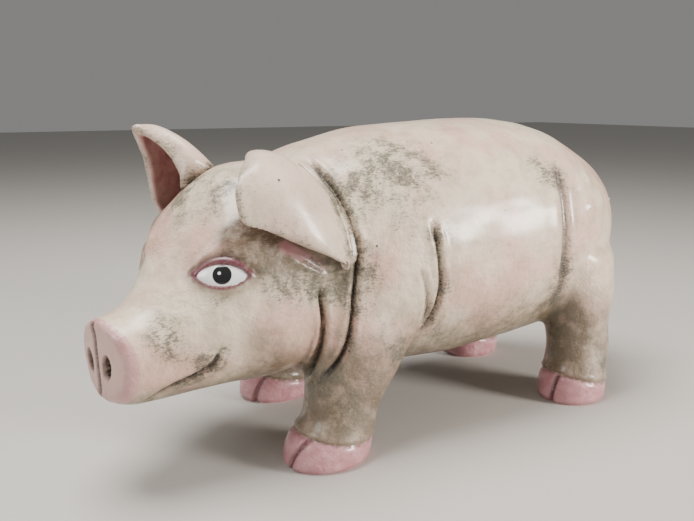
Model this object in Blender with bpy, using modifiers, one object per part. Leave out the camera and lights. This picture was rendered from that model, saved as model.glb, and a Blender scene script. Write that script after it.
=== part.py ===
"""A hollow clay piggy bank: two moulded half shells, luted ears and tail, inset eyes and a rubber stopper.

The pig looks along -Y with its left side on +X, and the origin is on the table under the middle of its box.
Lengths are written in millimetres and turned into metres by MM where a mesh is made.
"""

import math

import bmesh
import bpy
from mathutils import Matrix, Vector
from mathutils.bvhtree import BVHTree

MM = 0.001

# Driving dimensions
ORIGIN_T = -92.4  # the place along the spine that is the middle of the whole length, tail included
HEAD_YAW = math.radians(18.0)  # the head is turned to the pig's left
TURN_FROM, TURN_TO = -25.0, 45.0  # the stretch of neck in which it turns
WALL = 6.0
SOLE = 10.0  # thickness of clay under the hollow of each leg
GAP = 0.3  # the gap kept between neighbouring pieces

SLOT_LENGTH, SLOT_WIDTH, SLOT_T = 52.0, 6.0, -130.0
BUNG_T = -115.0
BUNG_HOLE_R = 20.0
BUNG_SEAT_R = 26.5
BUNG_SEAT_Z = 51.0  # height of the flat seat cut in the belly
BUNG_PAD_R, BUNG_PAD_LOW, BUNG_PAD_TOP = 38.0, 20.0, 61.0  # the pad of clay inside, round the hole
FLANGE_THICK = 3.9

EYE_T, EYE_Z = 90.0, 143.0
EYE_HALF = (16.5, 8.0, 6.5)  # half length, half height, half depth
EYE_SINK = 3.8  # how far the middle of the eye lies under the skin
EYE_PAD = 15.0  # clay is kept this far round the eye's middle, inside the head

TAIL_T, TAIL_Z = -313.0, 152.0
TAIL_LOOP, TAIL_PITCH, TAIL_TURNS = 12.0, 19.0, 1.2
TAIL_R_ROOT, TAIL_R_TIP = 7.5, 3.5

# Trunk and head sections, from rump to snout: place along the spine, height of the widest level,
# half width there, rise above it, drop below it, squareness above and below
SECTIONS = (
    (-310.0, 150.0, 5.0, 5.0, 5.0, 2.0, 2.0),
    (-306.0, 149.0, 27.0, 26.0, 28.0, 2.0, 2.0),
    (-296.0, 147.0, 49.0, 44.0, 48.0, 2.0, 2.1),
    (-276.0, 145.0, 69.0, 61.0, 66.0, 2.1, 2.2),
    (-246.0, 141.0, 83.0, 80.0, 79.0, 2.2, 2.2),
    (-208.0, 138.0, 91.0, 95.0, 86.0, 2.3, 2.2),
    (-155.0, 135.0, 93.0, 101.0, 88.0, 2.2, 2.2),
    (-100.0, 134.0, 92.0, 100.0, 88.0, 2.2, 2.2),
    (-50.0, 134.0, 88.0, 94.0, 86.0, 2.2, 2.2),
    (-15.0, 134.0, 82.0, 85.0, 80.0, 2.2, 2.2),
    (15.0, 130.0, 75.0, 79.0, 75.0, 2.2, 2.2),
    (45.0, 124.0, 68.0, 83.0, 68.0, 2.2, 2.3),
    (70.0, 117.0, 61.0, 76.0, 59.0, 2.2, 2.3),
    (91.0, 110.0, 51.0, 57.0, 52.0, 2.1, 2.3),
    (108.0, 104.0, 41.0, 39.0, 46.0, 2.0, 2.2),
    (124.0, 98.0, 34.0, 28.0, 39.0, 2.0, 2.2),
    (140.0, 94.0, 30.5, 26.5, 33.0, 2.0, 2.2),
    (153.0, 93.0, 29.0, 27.0, 29.0, 2.0, 2.1),
)

# Legs: height, centre sideways, centre forward, half length, half width
FRONT_LEG = (
    (-9.0, 65.0, -11.0, 31.0, 25.5),
    (4.0, 65.0, -11.0, 33.0, 27.0),
    (17.0, 65.0, -13.0, 33.0, 27.0),
    (31.0, 65.0, -18.0, 28.5, 25.5),
    (43.0, 64.0, -21.0, 29.0, 25.0),
    (66.0, 61.0, -28.0, 38.0, 27.0),
    (92.0, 56.0, -30.0, 46.0, 31.0),
    (122.0, 48.0, -24.0, 45.0, 33.0),
)
REAR_LEG = (
    (-9.0, 69.0, -240.0, 27.0, 24.5),
    (4.0, 69.0, -240.0, 29.0, 26.0),
    (17.0, 69.0, -241.0, 29.5, 26.5),
    (31.0, 69.0, -243.0, 27.0, 25.5),
    (48.0, 68.0, -246.0, 27.0, 25.5),
    (70.0, 66.0, -244.0, 28.0, 27.5),
    (98.0, 61.0, -243.0, 34.0, 33.0),
    (128.0, 53.0, -238.0, 44.0, 38.0),
)
LEFT_FOOT_LEAD = 10.0  # the left front foot stands this far ahead of its place, the right one behind it

# Ears: each row is one rib of the leaf, from its root on the head to the free edge.
# Both ends are given as (place along the spine, distance out from the middle plane, height).
LEFT_EAR = (
    ((46.0, 22.0, 202.0), (54.0, 28.0, 207.0)),
    ((28.0, 22.0, 208.0), (70.0, 40.0, 208.0)),
    ((8.0, 34.0, 206.0), (82.0, 53.0, 206.0)),
    ((-4.0, 58.0, 190.0), (86.0, 55.0, 196.0)),
    ((-9.0, 74.0, 168.0), (82.0, 55.0, 181.0)),
    ((-10.0, 79.0, 152.0), (70.0, 64.0, 172.0)),
    ((-8.0, 80.0, 144.0), (46.0, 73.0, 160.0)),
    ((-5.0, 80.0, 140.0), (16.0, 79.0, 150.0)),
)
RIGHT_EAR = (
    ((56.0, 24.0, 192.0), (66.0, 29.0, 189.0)),
    ((46.0, 21.0, 203.0), (66.0, 31.0, 202.0)),
    ((38.0, 26.0, 203.0), (71.0, 42.0, 219.0)),
    ((24.0, 42.0, 196.0), (85.0, 56.0, 233.0)),
    ((6.0, 60.0, 184.0), (74.0, 62.0, 211.0)),
    ((-9.0, 74.0, 166.0), (68.0, 66.0, 192.0)),
    ((-8.0, 79.0, 148.0), (62.0, 70.0, 175.0)),
    ((6.0, 77.0, 138.0), (46.0, 74.0, 158.0)),
    ((24.0, 73.0, 138.0), (30.0, 78.0, 150.0)),
)
EAR_ROOT = 0.12  # the ribs run on under the skin by this share of their length
LEFT_EAR_BOW = (12.0, 6.0)  # how far the middle of the leaf bows out at its top and at its lower end
RIGHT_EAR_BOW = (9.0, 7.0)
EAR_THICK = 5.0

RING_POINTS = 44
RINGS_PER_SPAN = 5


def smoothstep(value):
    """Rises from 0 to 1 with level ends."""
    value = min(1.0, max(0.0, value))
    return value * value * (3.0 - 2.0 * value)


def heading(t):
    """The angle the spine has turned by at t."""
    return HEAD_YAW * smoothstep((t - TURN_FROM) / (TURN_TO - TURN_FROM))


def spine(t):
    """The spine's place in plan at t, in millimetres: straight through the trunk, turning in the neck."""
    x, y = 0.0, ORIGIN_T - min(t, TURN_FROM)
    at = TURN_FROM
    while at < t:
        step = min(1.0, t - at)
        angle = heading(at + step / 2.0)
        x += step * math.sin(angle)
        y -= step * math.cos(angle)
        at += step
    return x, y


def place(t, side, z):
    """The point at t along the spine, side to the pig's left of it and z above the table, in metres."""
    x, y = spine(t)
    angle = heading(t)
    return Vector((x + side * math.cos(angle), y + side * math.sin(angle), z)) * MM


def spline(rows, per_span):
    """Catmull-Rom rows through the given ones."""
    made = []
    last = len(rows) - 1
    for i in range(last):
        before, here, there, after = (rows[min(max(k, 0), last)] for k in (i - 1, i, i + 1, i + 2))
        for k in range(per_span):
            u = k / per_span
            made.append(tuple(
                b + 0.5 * u * (c - a + u * (2 * a - 5 * b + 4 * c - d + u * (3 * b - a - 3 * c + d)))
                for a, b, c, d in zip(before, here, there, after)
            ))
    return made + [rows[-1]]


def power(value, exponent):
    """A power that keeps the sign."""
    return math.copysign(abs(value) ** exponent, value)


def collection(name):
    made = bpy.data.collections.new(name)
    bpy.context.scene.collection.children.link(made)
    return made


def add(name, mesh, group):
    made = bpy.data.objects.new(name, mesh)
    group.objects.link(made)
    return made


def cutter(name, mesh):
    made = add(name, mesh, CUTTERS)
    made.hide_render = True
    made.display_type = "WIRE"
    return made


def loft(name, rings):
    """A closed body through rings of points that all have the same count."""
    bm = bmesh.new()
    loops = [[bm.verts.new(point) for point in ring] for ring in rings]
    for low, high in zip(loops, loops[1:]):
        for k in range(len(low)):
            after = (k + 1) % len(low)
            bm.faces.new((low[k], low[after], high[after], high[k]))
    bm.faces.new(loops[0])
    bm.faces.new(loops[-1])
    bmesh.ops.recalc_face_normals(bm, faces=bm.faces)
    mesh = bpy.data.meshes.new(name)
    bm.to_mesh(mesh)
    bm.free()
    return mesh


def trunk_mesh():
    """The trunk, neck and head in one, through superellipse sections along the spine."""
    rings = []
    for t, level, width, rise, drop, square_up, square_down in spline(SECTIONS, RINGS_PER_SPAN):
        ring = []
        for k in range(RING_POINTS):
            angle = 2.0 * math.pi * k / RING_POINTS
            across, up = math.cos(angle), math.sin(angle)
            square = square_up if up > 0.0 else square_down
            height = rise if up > 0.0 else drop
            side = width * power(across, 2.0 / square)
            ring.append(place(t, side, level + height * power(up, 2.0 / square)))
        rings.append(ring)
    return loft("trunk", rings)


def leg_mesh(rows, side, lead):
    """A leg from below the table up into the trunk; its foot stands lead ahead of its place."""
    rings = []
    for z, out, forward, half_length, half_width in spline(rows, RINGS_PER_SPAN):
        lead_here = lead * (1.0 - smoothstep(z / 90.0))
        ring = []
        for k in range(RING_POINTS // 2):
            angle = 4.0 * math.pi * k / RING_POINTS
            x = side * out + half_width * math.cos(angle)
            y = ORIGIN_T - forward - lead_here - half_length * math.sin(angle)
            ring.append(Vector((x, y, z)) * MM)
        rings.append(ring)
    return loft("leg", rings)


def modified(obj, *modifiers):
    """The object's mesh after the given modifiers, each as (type, {setting: value})."""
    for kind, settings in modifiers:
        modifier = obj.modifiers.new(kind.lower(), kind)
        for setting, value in settings.items():
            setattr(modifier, setting, value)
    bpy.context.view_layer.update()
    mesh = bpy.data.meshes.new_from_object(obj.evaluated_get(bpy.context.evaluated_depsgraph_get()))
    mesh.transform(obj.matrix_world)
    obj.modifiers.clear()
    return mesh


def joined(name, meshes):
    """One mesh that holds all of the given ones, not yet made one body."""
    bm = bmesh.new()
    for mesh in meshes:
        bm.from_mesh(mesh)
    made = bpy.data.meshes.new(name)
    bm.to_mesh(made)
    bm.free()
    return made


def cut_level(mesh, z):
    """The mesh with everything below z taken off and the cuts closed flat."""
    bm = bmesh.new()
    bm.from_mesh(mesh)
    everything = [*bm.verts, *bm.edges, *bm.faces]
    bmesh.ops.bisect_plane(bm, geom=everything, plane_co=(0, 0, z * MM), plane_no=(0, 0, -1), clear_outer=True)
    bmesh.ops.holes_fill(bm, edges=[edge for edge in bm.edges if edge.is_boundary])
    bmesh.ops.recalc_face_normals(bm, faces=bm.faces)
    bm.to_mesh(mesh)
    bm.free()
    return mesh


def primitive(name, create, matrix, **sizes):
    """A mesh holding one of bmesh's own solids, placed by the matrix."""
    bm = bmesh.new()
    create(bm, matrix=matrix, **sizes)
    mesh = bpy.data.meshes.new(name)
    bm.to_mesh(mesh)
    bm.free()
    return mesh


def boolean(operation, tool):
    return ("BOOLEAN", {"operation": operation, "solver": "EXACT", "object": tool})


def welded(name, obj):
    """A curve or profile object as a closed mesh in world space, its loose caps and seams welded."""
    mesh = modified(obj)
    bm = bmesh.new()
    bm.from_mesh(mesh)
    bmesh.ops.remove_doubles(bm, verts=bm.verts, dist=0.01 * MM)
    bmesh.ops.recalc_face_normals(bm, faces=bm.faces)
    bm.to_mesh(mesh)
    bm.free()
    mesh.name = name
    bpy.data.objects.remove(obj)
    return mesh


def turned(name, profile, centre, steps=36):
    """A body turned about the vertical through centre, from (radius, height) pairs, top to bottom."""
    line = bpy.data.meshes.new(name)
    edges = [(k, k + 1) for k in range(len(profile) - 1)]
    line.from_pydata([Vector((radius, 0, z)) * MM for radius, z in profile], edges, [])
    obj = add(name, line, CUTTERS)
    obj.location = centre
    screw = {"angle": 2.0 * math.pi, "steps": steps, "render_steps": steps, "axis": "Z",
             "use_merge_vertices": True, "merge_threshold": 0.01 * MM}
    mesh = modified(obj, ("SCREW", screw))
    bpy.data.objects.remove(obj)
    return mesh


def outline(name, points, low, high):
    """A closed flat outline, seen from above, filled and raised from one height to another."""
    curve = bpy.data.curves.new(name, "CURVE")
    curve.dimensions = "2D"
    curve.fill_mode = "BOTH"
    curve.extrude = (high - low) / 2.0 * MM
    spline_made = curve.splines.new("POLY")
    spline_made.points.add(len(points) - 1)
    for made, point in zip(spline_made.points, points):
        made.co = (point.x, point.y, 0.0, 1.0)
    spline_made.use_cyclic_u = True
    obj = add(name, curve, CUTTERS)
    obj.location = (0.0, 0.0, (low + high) / 2.0 * MM)
    return welded(name, obj)


def tube(name, path, radii):
    """A round body along the path of points, in metres, with a radius in millimetres at each."""
    curve = bpy.data.curves.new(name, "CURVE")
    curve.dimensions = "3D"
    curve.bevel_depth = max(radii) * MM
    curve.bevel_resolution = 3
    curve.use_fill_caps = True
    spline_made = curve.splines.new("POLY")
    spline_made.points.add(len(path) - 1)
    for made, point, radius in zip(spline_made.points, path, radii):
        made.co = (*point, 1.0)
        made.radius = radius / max(radii)
    return welded(name, add(name, curve, CUTTERS))


def ear_mesh(name, ribs, bow, side):
    """The cupped leaf of an ear as a closed sheet of clay, its roots running into the head."""
    rows = spline([root + edge for root, edge in ribs], 4)
    heart = place(40.0, side * 30.0, 170.0)
    bm = bmesh.new()
    grid = []
    for i, row in enumerate(rows):
        bowed = bow[0] + (bow[1] - bow[0]) * i / (len(rows) - 1)
        root = place(row[0], side * row[1], row[2])
        edge = place(row[3], side * row[4], row[5])
        out = ((root + edge) / 2.0 - heart).normalized()
        line = []
        for k in range(11):
            u = -EAR_ROOT + (1.0 + EAR_ROOT) * k / 10.0
            swell = bowed * math.sin(math.pi * max(0.0, u))
            line.append(bm.verts.new(root.lerp(edge, u) + out * swell * MM))
        grid.append(line)
    for near, far in zip(grid, grid[1:]):
        for k in range(10):
            bm.faces.new((near[k], near[k + 1], far[k + 1], far[k]))
    bmesh.ops.recalc_face_normals(bm, faces=bm.faces)
    if sum(face.normal.dot(face.calc_center_median() - heart) for face in bm.faces) < 0.0:
        bmesh.ops.reverse_faces(bm, faces=bm.faces)
    mesh = bpy.data.meshes.new(name)
    bm.to_mesh(mesh)
    bm.free()
    sheet = cutter(name + "_sheet", mesh)
    return modified(
        sheet,
        ("SOLIDIFY", {"thickness": EAR_THICK * MM, "offset": -1.0}),
        ("REMESH", {"mode": "VOXEL", "voxel_size": 1.6 * MM}),
        ("SMOOTH", {"factor": 0.5, "iterations": 4}),
        ("DECIMATE", {"ratio": 0.035}),
    )


def side_prism(name, side):
    """Everything on one side of the parting surface, less half the gap, which follows the spine in plan."""
    stations = (-430.0, *(TURN_FROM + (TURN_TO - TURN_FROM) * k / 8.0 for k in range(9)), 260.0)
    plan = [place(t, side * GAP / 2.0, 0.0) for t in stations]
    plan += [place(stations[-1], side * 300.0, 0.0), place(stations[0], side * 400.0, 0.0)]
    return cutter(name, outline(name, plan, -30.0, 330.0))


def eye_frame(side):
    """Where an eye sits: its middle on the skin, with X along it, Y up and Z outward."""
    aim = place(EYE_T, 0.0, EYE_Z)
    outward = (place(EYE_T, side * 100.0, EYE_Z) - aim).normalized()
    hit, normal, _, _ = SKIN.ray_cast(aim + outward * 0.3, -outward)
    along = Vector((0, 0, 1)).cross(normal).normalized()
    frame = Matrix((along, normal.cross(along), normal)).transposed().to_4x4()
    frame.translation = hit - normal * EYE_SINK * MM
    return frame


def eye_mesh(name, side, extra=0.0):
    """The lens of an eye, or with some extra all round the socket it sits in."""
    shape = Matrix.Diagonal((*((half + extra) * MM for half in EYE_HALF), 1.0))
    return primitive(
        name, bmesh.ops.create_uvsphere, eye_frame(side) @ shape, u_segments=24, v_segments=10, radius=1.0
    )


def tail_mesh():
    """A short curl that leaves the rump straight and winds once round to its tip."""
    steps = 30
    root = place(TAIL_T + 14.0, 0.0, TAIL_Z)
    path, radii = [root], [TAIL_R_ROOT]
    for k in range(steps + 1):
        turn = TAIL_TURNS * k / steps
        angle = 2.0 * math.pi * turn
        side = TAIL_LOOP * math.sin(angle)
        z = TAIL_Z + TAIL_LOOP * (1.0 - math.cos(angle))
        path.append(place(TAIL_T - TAIL_PITCH * turn, side, z))
        radii.append(TAIL_R_ROOT + (TAIL_R_TIP - TAIL_R_ROOT) * k / steps)
    path.append(path[-1] + (path[-1] - path[-2]).normalized() * 1.6 * MM)
    radii.append(TAIL_R_TIP * 0.5)
    return modified(
        cutter("tail_swept", tube("tail", path, radii)),
        ("REMESH", {"mode": "VOXEL", "voxel_size": 1.2 * MM}),
        ("SMOOTH", {"factor": 0.5, "iterations": 4}),
        ("DECIMATE", {"ratio": 0.06}),
    )


def material(name, colour, roughness, metallic=0.0):
    made = bpy.data.materials.new(name)
    made.use_nodes = True
    shader = made.node_tree.nodes["Principled BSDF"]
    shader.inputs["Base Color"].default_value = (*colour, 1.0)
    shader.inputs["Roughness"].default_value = roughness
    shader.inputs["Metallic"].default_value = metallic
    return made


def keep_biggest(bm):
    """Take off every loose scrap that is not part of the body with the most points."""
    left = set(bm.verts)
    bodies = []
    while left:
        body = {left.pop()}
        edge_of = list(body)
        while edge_of:
            vert = edge_of.pop()
            near = {edge.other_vert(vert) for edge in vert.link_edges} & left
            left -= near
            body |= near
            edge_of.extend(near)
        bodies.append(body)
    bodies.sort(key=len)
    for body in bodies[:-1]:
        bmesh.ops.delete(bm, geom=list(body), context="VERTS")


def finish(name, mesh, surface, origin=None, angle=50.0):
    """The finished piece in the pig's collection, shaded smooth, with its origin at the given point."""
    mesh.name = name
    bm = bmesh.new()
    bm.from_mesh(mesh)
    bmesh.ops.remove_doubles(bm, verts=bm.verts, dist=0.01 * MM)
    bmesh.ops.dissolve_degenerate(bm, edges=bm.edges, dist=0.01 * MM)
    keep_biggest(bm)
    bm.to_mesh(mesh)
    bm.free()
    if origin is not None:
        mesh.transform(Matrix.Translation(-origin))
    mesh.materials.clear()
    mesh.materials.append(surface)
    mesh.shade_smooth()
    mesh.set_sharp_from_angle(angle=math.radians(angle))
    made = add(name, mesh, PIG)
    if origin is not None:
        made.location = origin
    return made


for leftover in list(bpy.data.objects):
    bpy.data.objects.remove(leftover)
PIG = collection("piggy_bank")
CUTTERS = collection("cutters")
SIDES = (("left", 1.0), ("right", -1.0))

# The outer form: trunk and legs run together by a voxel remesh, with the soles cut flat
limbs = [
    leg_mesh(FRONT_LEG, 1.0, LEFT_FOOT_LEAD),
    leg_mesh(FRONT_LEG, -1.0, -LEFT_FOOT_LEAD),
    leg_mesh(REAR_LEG, 1.0, 0.0),
    leg_mesh(REAR_LEG, -1.0, 0.0),
]
form = cutter("form", modified(
    cutter("rough_form", joined("rough_form", [trunk_mesh(), *limbs])),
    ("REMESH", {"mode": "VOXEL", "voxel_size": 3.5 * MM}),
    ("SMOOTH", {"factor": 0.5, "iterations": 6}),
))
outer = cutter("outer", cut_level(modified(form, ("DECIMATE", {"ratio": 0.05})), 0.0))
SKIN = BVHTree.FromPolygons(
    [vertex.co for vertex in outer.data.vertices], [polygon.vertices for polygon in outer.data.polygons]
)
grown = cutter("grown", modified(outer, ("DISPLACE", {"strength": GAP * MM, "mid_level": 0.0})))

# The cavity: the same form a wall's thickness smaller, less clay pads round the bung hole and behind the eyes
shrunk = cutter("shrunk", modified(form, ("DISPLACE", {"strength": -WALL * MM, "mid_level": 0.0})))
hollow = cutter("hollow", modified(
    shrunk,
    ("REMESH", {"mode": "VOXEL", "voxel_size": 5.0 * MM}),
    ("SMOOTH", {"factor": 0.5, "iterations": 2}),
    ("DECIMATE", {"ratio": 0.05}),
))
cut_level(hollow.data, SOLE)
belly = place(BUNG_T, 0.0, 0.0)
pad_tall = BUNG_PAD_TOP - BUNG_PAD_LOW
pads = [cutter("bung_pad", primitive(
    "bung_pad", bmesh.ops.create_cone, Matrix.Translation(belly + Vector((0, 0, BUNG_PAD_LOW + pad_tall / 2.0)) * MM),
    segments=40, radius1=BUNG_PAD_R * MM, radius2=BUNG_PAD_R * MM, depth=pad_tall * MM, cap_ends=True,
))]
for side_name, side in SIDES:
    pads.append(cutter(side_name + "_eye_pad", primitive(
        side_name + "_eye_pad", bmesh.ops.create_icosphere, eye_frame(side), subdivisions=3, radius=EYE_PAD * MM,
    )))
cavity = cutter("cavity", modified(hollow, *(boolean("DIFFERENCE", pad) for pad in pads)))

# What is cut from the shell: the coin slot along the parting line, and the bung hole with its seat
slot_middle = place(SLOT_T, 0.0, 235.0)
slot = cutter("coin_slot", primitive(
    "coin_slot", bmesh.ops.create_cube,
    Matrix.Translation(slot_middle) @ Matrix.Diagonal((SLOT_WIDTH * MM, SLOT_LENGTH * MM, 70.0 * MM, 1.0)), size=1.0,
))
hole = cutter("bung_hole", turned(
    "bung_hole",
    (
        (0.0, 90.0), (BUNG_HOLE_R, 90.0), (BUNG_HOLE_R, BUNG_SEAT_Z),
        (BUNG_SEAT_R, BUNG_SEAT_Z), (BUNG_SEAT_R, 20.0), (0.0, 20.0),
    ),
    belly,
))

BODY = material("painted_clay", (0.80, 0.68, 0.60), 0.35)
EAR = material("painted_clay_ear", (0.80, 0.62, 0.55), 0.38)
EYE = material("painted_eye", (0.86, 0.84, 0.80), 0.12)
TAIL = material("painted_clay_tail", (0.78, 0.60, 0.53), 0.38)
RUBBER = material("black_rubber", (0.03, 0.03, 0.032), 0.6)

for side_name, side in SIDES:
    socket = cutter(side_name + "_eye_socket", eye_mesh(side_name + "_eye_socket", side, GAP))
    half = modified(
        outer,
        boolean("DIFFERENCE", cavity),
        boolean("DIFFERENCE", slot),
        boolean("DIFFERENCE", hole),
        boolean("DIFFERENCE", socket),
        boolean("INTERSECT", side_prism(side_name + "_side", side)),
    )
    finish(side_name + "_half_shell", half, BODY)
    finish(side_name + "_eye", eye_mesh(side_name + "_eye", side), EYE)

EARS = (("left", 1.0, LEFT_EAR, LEFT_EAR_BOW), ("right", -1.0, RIGHT_EAR, RIGHT_EAR_BOW))
for side_name, side, ribs, bow in EARS:
    leaf = cutter(side_name + "_leaf", ear_mesh(side_name + "_ear", ribs, bow, side))
    finish(side_name + "_ear", modified(leaf, boolean("DIFFERENCE", grown)), EAR)
curl = cutter("tail_whole", tail_mesh())
finish("tail", modified(curl, boolean("DIFFERENCE", grown)), TAIL)

# The stopper: a flange in the seat, a tapered plug in the hole, and a bar between two pockets to pull it by
low = BUNG_SEAT_Z - FLANGE_THICK - GAP
bung = cutter("bung_turned", turned(
    "bung_turned",
    (
        (0.0, low + 22.5), (17.2, low + 22.5), (18.6, low + 20.0), (19.4, low + 10.0), (19.6, low + FLANGE_THICK),
        (25.2, low + FLANGE_THICK), (25.9, low + 3.1), (25.9, low + 2.0), (25.0, low + 0.7), (22.5, low), (0.0, low),
    ),
    belly,
))
grips = []
for side_name, side in SIDES:
    arc = (math.pi * k / 16.0 for k in range(17))
    rim = [belly + Vector((side * (3.2 + 11.0 * math.sin(a)), 13.5 * math.cos(a), 0.0)) * MM for a in arc]
    grips.append(cutter(side_name + "_grip", outline(side_name + "_grip", rim, low - 3.0, low + 2.4)))
finish(
    "belly_stopper", modified(bung, *(boolean("DIFFERENCE", grip) for grip in grips)), RUBBER,
    belly + Vector((0, 0, BUNG_SEAT_Z * MM)),
)
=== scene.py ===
"""The looks of the clay piggy bank: hand-painted shells, ears, eyes and tail, and a rubber stopper.

The pig looks along -Y with its left side on +X. Lengths are in millimetres until a mesh is made.
Places on the body are given as (t, side, z): t runs forward along the pig's spine from the front
feet, side is the distance to the pig's left of it, and z is the height above the table.
"""

import math

import bmesh
import bpy
import numpy as np
from mathutils import Matrix, Vector
from mathutils.bvhtree import BVHTree


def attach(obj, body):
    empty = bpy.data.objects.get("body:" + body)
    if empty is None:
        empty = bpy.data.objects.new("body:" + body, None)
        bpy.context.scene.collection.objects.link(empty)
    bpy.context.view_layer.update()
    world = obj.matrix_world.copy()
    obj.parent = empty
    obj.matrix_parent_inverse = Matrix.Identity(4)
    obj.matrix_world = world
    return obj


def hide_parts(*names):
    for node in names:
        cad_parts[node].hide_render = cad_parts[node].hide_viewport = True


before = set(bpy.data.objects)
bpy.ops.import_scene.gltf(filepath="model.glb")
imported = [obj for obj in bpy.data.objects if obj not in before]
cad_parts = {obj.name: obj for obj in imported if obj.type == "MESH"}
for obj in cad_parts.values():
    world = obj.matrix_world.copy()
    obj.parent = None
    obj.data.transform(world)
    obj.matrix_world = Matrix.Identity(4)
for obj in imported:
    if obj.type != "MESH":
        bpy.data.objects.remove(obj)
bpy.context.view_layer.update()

MM = 0.001
# Edges sharper than this stay sharp on a finished piece
SHARP_FROM = math.radians(40.0)

# The spine: the place of t = 0, the head's turn to the pig's left, and where on the spine it happens
ORIGIN_T = -92.4
HEAD_YAW = math.radians(18.0)
TURN_FROM, TURN_TO = -25.0, 45.0

# The wall and the solid soles, and how far below the outer surface a point still counts as outside
WALL, SOLE = 6.0, 10.0
SKIN_DEEP = 2.2
# Farther than any paint or cut reaches
FAR = 99.0

# The coin slot in the back
SLOT_LENGTH, SLOT_WIDTH, SLOT_DEEP = 52.0, 6.0, 70.0
SLOT_T, SLOT_Z = -130.0, 235.0

# The stepped hole for the stopper and the thickened pad round it: radius, lowest and highest level
BUNG_T = -115.0
BUNG_HOLE_R, BUNG_HOLE_LOW, BUNG_HOLE_TOP = 20.0, 20.0, 90.0
BUNG_SEAT_R, BUNG_SEAT_LOW, BUNG_SEAT_TOP = 26.5, 10.0, 51.0
BUNG_PAD_R, BUNG_PAD_LOW, BUNG_PAD_TOP = 38.0, 20.0, 61.0

# The tail: where it leaves the rump and how far it runs in, its curl, and how thick it is
TAIL_T, TAIL_Z, TAIL_IN = -313.0, 152.0, 10.0
TAIL_LOOP, TAIL_PITCH, TAIL_TURNS = 12.0, 19.0, 1.2
TAIL_ROOT_R, TAIL_THICK_R, TAIL_TAPER, TAIL_STEPS = 8.4, 7.5, 4.0, 72

# The eyes: where they sit, and the pads of clay behind them
EYE_T, EYE_Z, EYE_PAD_R = 90.0, 143.0, 16.0
# The almond opening between the lids: half its length, and its height above and below the middle
LID_HALF, LID_UP, LID_DOWN = 16.0, 7.2, 6.4
# How far the lids stand out, how far the eye's socket goes in, and the fold above the upper lid
LID_UPPER, LID_LOWER, SOCKET_DEPTH, LID_FOLD = 1.2, 0.9, 3.6, 1.2
# The eyeball: half its length, height and depth, and how far its middle is sunk
EYEBALL = (19.0, 10.5, 6.6)
EYEBALL_SUNK = 5.6
# How far off the plane of the eye its lids reach, and how wide the painted rims are
EYE_REACH = 14.0
LEFT_RIM, RIGHT_RIM, LOWER_RIM = 6.0, 3.0, 3.8
IRIS_R, IRIS_UP = 6.1, 0.3
GLINT_R, GLINT_ALONG, GLINT_UP = 1.0, -1.7, 1.3

# The snout: height and radius of its disc, t of the disc, and from where its face is flat
SNOUT_Z, SNOUT_R, SNOUT_DISC_T, SNOUT_FACE_T = 92.0, 28.0, 153.0, 149.0
# Between these it takes its lean forward, its dome from side to side and its bow from top to bottom
SNOUT_FROM, SNOUT_TO = 134.0, 150.0
SNOUT_LEAN, SNOUT_DOME, SNOUT_BOW = 0.07, 5.0, 1.0
SNOUT_RIM = 1.0
NOSE_SIDE, NOSE_GROOVE = -5.0, 2.8
NOSTRIL_OUT, NOSTRIL_Z, NOSTRIL_LEAN = 10.2, -3.0, 0.10
NOSTRIL_HALF_WIDTH, NOSTRIL_HALF_HEIGHT = 4.8, 9.0
NOSTRIL_DEPTH, NOSTRIL_LIP = 8.0, 0.8

# The trunk: t, height of its widest level, half width there, rise above and drop below it, and how
# square it is above and below
SECTIONS = (
    (-310.0, 150.0, 5.0, 5.0, 5.0, 2.0, 2.0),
    (-306.0, 149.0, 27.0, 26.0, 28.0, 2.0, 2.0),
    (-296.0, 147.0, 49.0, 44.0, 48.0, 2.0, 2.1),
    (-276.0, 145.0, 69.0, 61.0, 66.0, 2.1, 2.2),
    (-246.0, 141.0, 83.0, 80.0, 79.0, 2.2, 2.2),
    (-208.0, 138.0, 91.0, 95.0, 86.0, 2.3, 2.2),
    (-155.0, 135.0, 93.0, 101.0, 88.0, 2.2, 2.2),
    (-100.0, 134.0, 92.0, 100.0, 88.0, 2.2, 2.2),
    (-50.0, 134.0, 88.0, 94.0, 86.0, 2.2, 2.2),
    (-15.0, 134.0, 82.0, 85.0, 80.0, 2.2, 2.2),
    (15.0, 130.0, 75.0, 79.0, 75.0, 2.2, 2.2),
    (45.0, 124.0, 68.0, 83.0, 68.0, 2.2, 2.3),
    (70.0, 117.0, 61.0, 76.0, 59.0, 2.2, 2.3),
    (91.0, 110.0, 51.0, 57.0, 52.0, 2.1, 2.3),
    (108.0, 104.0, 41.0, 39.0, 46.0, 2.0, 2.2),
    (124.0, 98.0, 34.0, 28.0, 39.0, 2.0, 2.2),
    (140.0, 94.0, 30.5, 26.5, 33.0, 2.0, 2.2),
    (153.0, 93.0, 29.0, 27.0, 29.0, 2.0, 2.1),
)

# Legs: height, centre sideways, centre forward, half length, half width
FRONT_LEG = (
    (-9.0, 65.0, -11.0, 31.0, 25.5),
    (4.0, 65.0, -11.0, 33.0, 27.0),
    (17.0, 65.0, -13.0, 33.0, 27.0),
    (31.0, 65.0, -18.0, 28.5, 25.5),
    (43.0, 64.0, -21.0, 29.0, 25.0),
    (66.0, 61.0, -28.0, 38.0, 27.0),
    (92.0, 56.0, -30.0, 46.0, 31.0),
    (122.0, 48.0, -24.0, 45.0, 33.0),
)
REAR_LEG = (
    (-9.0, 69.0, -240.0, 27.0, 24.5),
    (4.0, 69.0, -240.0, 29.0, 26.0),
    (17.0, 69.0, -241.0, 29.5, 26.5),
    (31.0, 69.0, -243.0, 27.0, 25.5),
    (48.0, 68.0, -246.0, 27.0, 25.5),
    (70.0, 66.0, -244.0, 28.0, 27.5),
    (98.0, 61.0, -243.0, 34.0, 33.0),
    (128.0, 53.0, -238.0, 44.0, 38.0),
)
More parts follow.
